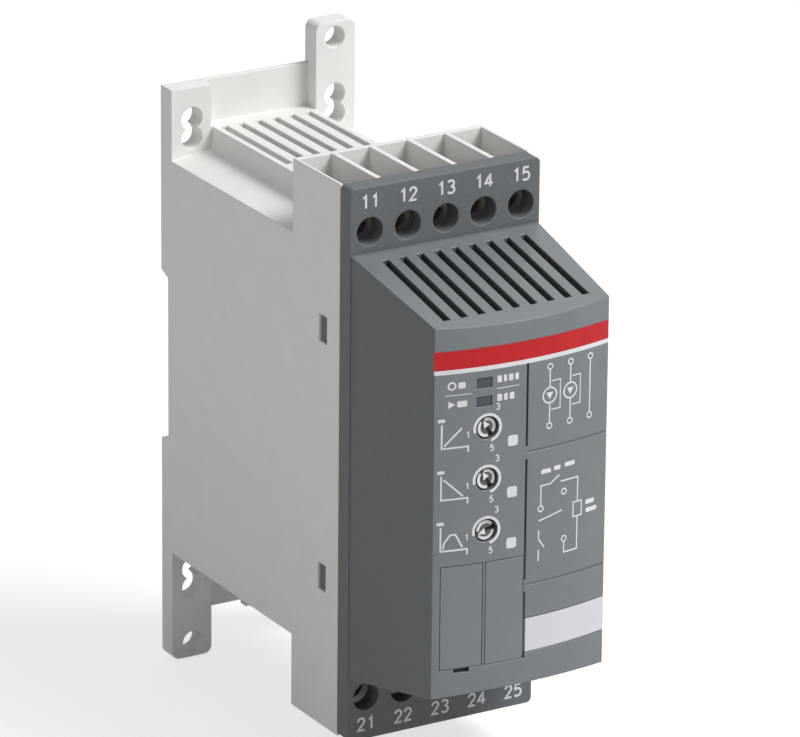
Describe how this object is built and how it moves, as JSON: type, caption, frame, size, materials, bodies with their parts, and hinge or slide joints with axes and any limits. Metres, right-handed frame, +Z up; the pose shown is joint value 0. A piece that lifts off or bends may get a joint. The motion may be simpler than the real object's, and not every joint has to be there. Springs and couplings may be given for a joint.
{
  "type": "soft starter",
  "caption": "Cabinet soft starter: light grey rail-mount base, dark crowned front with cooling slots, setting dials and screw terminals.",
  "frame": {"origin": "on the rear face, at the middle of the rail recess, midway between the two wall screws", "axes": "+Z up, +X to the right as seen from the front, the front faces -Y"},
  "size_m": [0.045, 0.114, 0.14],
  "materials": {
    "base_plastic": "fine moulded grain, light grey",
    "cover_plastic": "fine moulded grain, dark grey",
    "red_foil": "smooth printed foil",
    "white_foil": "smooth printed foil",
    "marker_plastic": "smooth white plastic",
    "lens": "smoked clear plastic",
    "dial_plastic": "smooth dark grey",
    "trimmer_plastic": "moulded blue",
    "zinc_steel": "zinc plated",
    "tinned_copper": "tinned copper",
    "circuit_board": "solder resist on laminate",
    "sink_alloy": "extruded",
    "black_plastic": "moulded black",
    "winding_sleeve": "wrapped sleeve",
    "spring_steel": "drawn wire"
  },
  "bodies": {
    "housing": {"base_housing": "base_plastic", "front_cover": "cover_plastic", "front_band": "red_foil", "band_line": "white_foil", "ready_window": "lens", "run_window": "lens", "start_pot": "trimmer_plastic", "stop_pot": "trimmer_plastic", "voltage_pot": "trimmer_plastic", "blank_lid": "cover_plastic", "marker_plate": "marker_plastic", "contact_bars_top": "tinned_copper", "contact_bars_bottom": "tinned_copper", "power_board": "circuit_board", "control_board": "circuit_board", "board_link": "black_plastic", "heat_sink": "sink_alloy", "heat_sink_screws": "zinc_steel", "thyristor_upper": "black_plastic", "thyristor_lower": "black_plastic", "thyristor_screws": "zinc_steel", "bypass_relay_left": "black_plastic", "bypass_relay_right": "black_plastic", "transformer": "winding_sleeve", "capacitors": "winding_sleeve", "link_socket": "black_plastic", "indicator_leds": "lens", "latch_spring": "spring_steel"},
    "start_dial": {"start_dial": "dial_plastic"},
    "stop_dial": {"stop_dial": "dial_plastic"},
    "voltage_dial": {"voltage_dial": "dial_plastic"},
    "screw_t1": {"screw_t1": "zinc_steel"},
    "screw_t2": {"screw_t2": "zinc_steel"},
    "screw_t3": {"screw_t3": "zinc_steel"},
    "screw_t4": {"screw_t4": "zinc_steel"},
    "screw_t5": {"screw_t5": "zinc_steel"},
    "screw_b1": {"screw_b1": "zinc_steel"},
    "screw_b2": {"screw_b2": "zinc_steel"},
    "screw_b3": {"screw_b3": "zinc_steel"},
    "screw_b4": {"screw_b4": "zinc_steel"},
    "screw_b5": {"screw_b5": "zinc_steel"},
    "cage_t1": {"cage_t1": "zinc_steel"},
    "cage_t2": {"cage_t2": "zinc_steel"},
    "cage_t3": {"cage_t3": "zinc_steel"},
    "cage_t4": {"cage_t4": "zinc_steel"},
    "cage_t5": {"cage_t5": "zinc_steel"},
    "cage_b1": {"cage_b1": "zinc_steel"},
    "cage_b2": {"cage_b2": "zinc_steel"},
    "cage_b3": {"cage_b3": "zinc_steel"},
    "cage_b4": {"cage_b4": "zinc_steel"},
    "cage_b5": {"cage_b5": "zinc_steel"},
    "link_lid": {"link_lid": "cover_plastic"},
    "din_latch": {"din_latch": "base_plastic"}
  },
  "joints": [
    {"name": "start_dial_turn", "type": "hinge", "parent": "housing", "child": "start_dial", "pos_m": [-0.0092, -0.11, 0.0178], "axis": [0, 1, 0], "range_deg": [-75, 195]},
    {"name": "stop_dial_turn", "type": "hinge", "parent": "housing", "child": "stop_dial", "pos_m": [-0.0092, -0.11, 0.00665], "axis": [0, 1, 0], "range_deg": [-75, 195]},
    {"name": "voltage_dial_turn", "type": "hinge", "parent": "housing", "child": "voltage_dial", "pos_m": [-0.0092, -0.11, -0.0045], "axis": [0, 1, 0], "range_deg": [0, 270]},
    {"name": "screw_t1_turn", "type": "hinge", "parent": "housing", "child": "screw_t1", "pos_m": [-0.018, -0.07, 0.0513], "axis": [0, 1, 0], "range_deg": [0, 1860]},
    {"name": "screw_t2_turn", "type": "hinge", "parent": "housing", "child": "screw_t2", "pos_m": [-0.009, -0.07, 0.0513], "axis": [0, 1, 0], "range_deg": [0, 1860]},
    {"name": "screw_t3_turn", "type": "hinge", "parent": "housing", "child": "screw_t3", "pos_m": [0, -0.07, 0.0513], "axis": [0, 1, 0], "range_deg": [0, 1860]},
    {"name": "screw_t4_turn", "type": "hinge", "parent": "housing", "child": "screw_t4", "pos_m": [0.009, -0.07, 0.0513], "axis": [0, 1, 0], "range_deg": [0, 1860]},
    {"name": "screw_t5_turn", "type": "hinge", "parent": "housing", "child": "screw_t5", "pos_m": [0.018, -0.07, 0.0513], "axis": [0, 1, 0], "range_deg": [0, 1860]},
    {"name": "screw_b1_turn", "type": "hinge", "parent": "housing", "child": "screw_b1", "pos_m": [-0.018, -0.07, -0.0513], "axis": [0, 1, 0], "range_deg": [0, 1860]},
    {"name": "screw_b2_turn", "type": "hinge", "parent": "housing", "child": "screw_b2", "pos_m": [-0.009, -0.07, -0.0513], "axis": [0, 1, 0], "range_deg": [0, 1860]},
    {"name": "screw_b3_turn", "type": "hinge", "parent": "housing", "child": "screw_b3", "pos_m": [0, -0.07, -0.0513], "axis": [0, 1, 0], "range_deg": [0, 1860]},
    {"name": "screw_b4_turn", "type": "hinge", "parent": "housing", "child": "screw_b4", "pos_m": [0.009, -0.07, -0.0513], "axis": [0, 1, 0], "range_deg": [0, 1860]},
    {"name": "screw_b5_turn", "type": "hinge", "parent": "housing", "child": "screw_b5", "pos_m": [0.018, -0.07, -0.0513], "axis": [0, 1, 0], "range_deg": [0, 1860]},
    {"name": "cage_t1_clamp", "type": "slide", "parent": "housing", "child": "cage_t1", "axis": [0, -1, 0], "range_m": [0, 0.0036]},
    {"name": "cage_t2_clamp", "type": "slide", "parent": "housing", "child": "cage_t2", "axis": [0, -1, 0], "range_m": [0, 0.0036]},
    {"name": "cage_t3_clamp", "type": "slide", "parent": "housing", "child": "cage_t3", "axis": [0, -1, 0], "range_m": [0, 0.0036]},
    {"name": "cage_t4_clamp", "type": "slide", "parent": "housing", "child": "cage_t4", "axis": [0, -1, 0], "range_m": [0, 0.0036]},
    {"name": "cage_t5_clamp", "type": "slide", "parent": "housing", "child": "cage_t5", "axis": [0, -1, 0], "range_m": [0, 0.0036]},
    {"name": "cage_b1_clamp", "type": "slide", "parent": "housing", "child": "cage_b1", "axis": [0, -1, 0], "range_m": [0, 0.0036]},
    {"name": "cage_b2_clamp", "type": "slide", "parent": "housing", "child": "cage_b2", "axis": [0, -1, 0], "range_m": [0, 0.0036]},
    {"name": "cage_b3_clamp", "type": "slide", "parent": "housing", "child": "cage_b3", "axis": [0, -1, 0], "range_m": [0, 0.0036]},
    {"name": "cage_b4_clamp", "type": "slide", "parent": "housing", "child": "cage_b4", "axis": [0, -1, 0], "range_m": [0, 0.0036]},
    {"name": "cage_b5_clamp", "type": "slide", "parent": "housing", "child": "cage_b5", "axis": [0, -1, 0], "range_m": [0, 0.0036]},
    {"name": "link_lid_pull", "type": "slide", "parent": "housing", "child": "link_lid", "axis": [0, -1, 0], "range_m": [0, 0.012]},
    {"name": "din_latch_pull", "type": "slide", "parent": "housing", "child": "din_latch", "axis": [0, 0, -1], "range_m": [0, 0.004], "stiffness_N_per_m": 700, "springref_m": -0.003, "deforming": ["latch_spring"]}
  ],
  "couplings": [
    {"joint": "screw_t1_turn", "follows": "cage_t1_clamp", "rad_per_m": 8976},
    {"joint": "screw_t2_turn", "follows": "cage_t2_clamp", "rad_per_m": 8976},
    {"joint": "screw_t3_turn", "follows": "cage_t3_clamp", "rad_per_m": 8976},
    {"joint": "screw_t4_turn", "follows": "cage_t4_clamp", "rad_per_m": 8976},
    {"joint": "screw_t5_turn", "follows": "cage_t5_clamp", "rad_per_m": 8976},
    {"joint": "screw_b1_turn", "follows": "cage_b1_clamp", "rad_per_m": 8976},
    {"joint": "screw_b2_turn", "follows": "cage_b2_clamp", "rad_per_m": 8976},
    {"joint": "screw_b3_turn", "follows": "cage_b3_clamp", "rad_per_m": 8976},
    {"joint": "screw_b4_turn", "follows": "cage_b4_clamp", "rad_per_m": 8976},
    {"joint": "screw_b5_turn", "follows": "cage_b5_clamp", "rad_per_m": 8976}
  ]
}
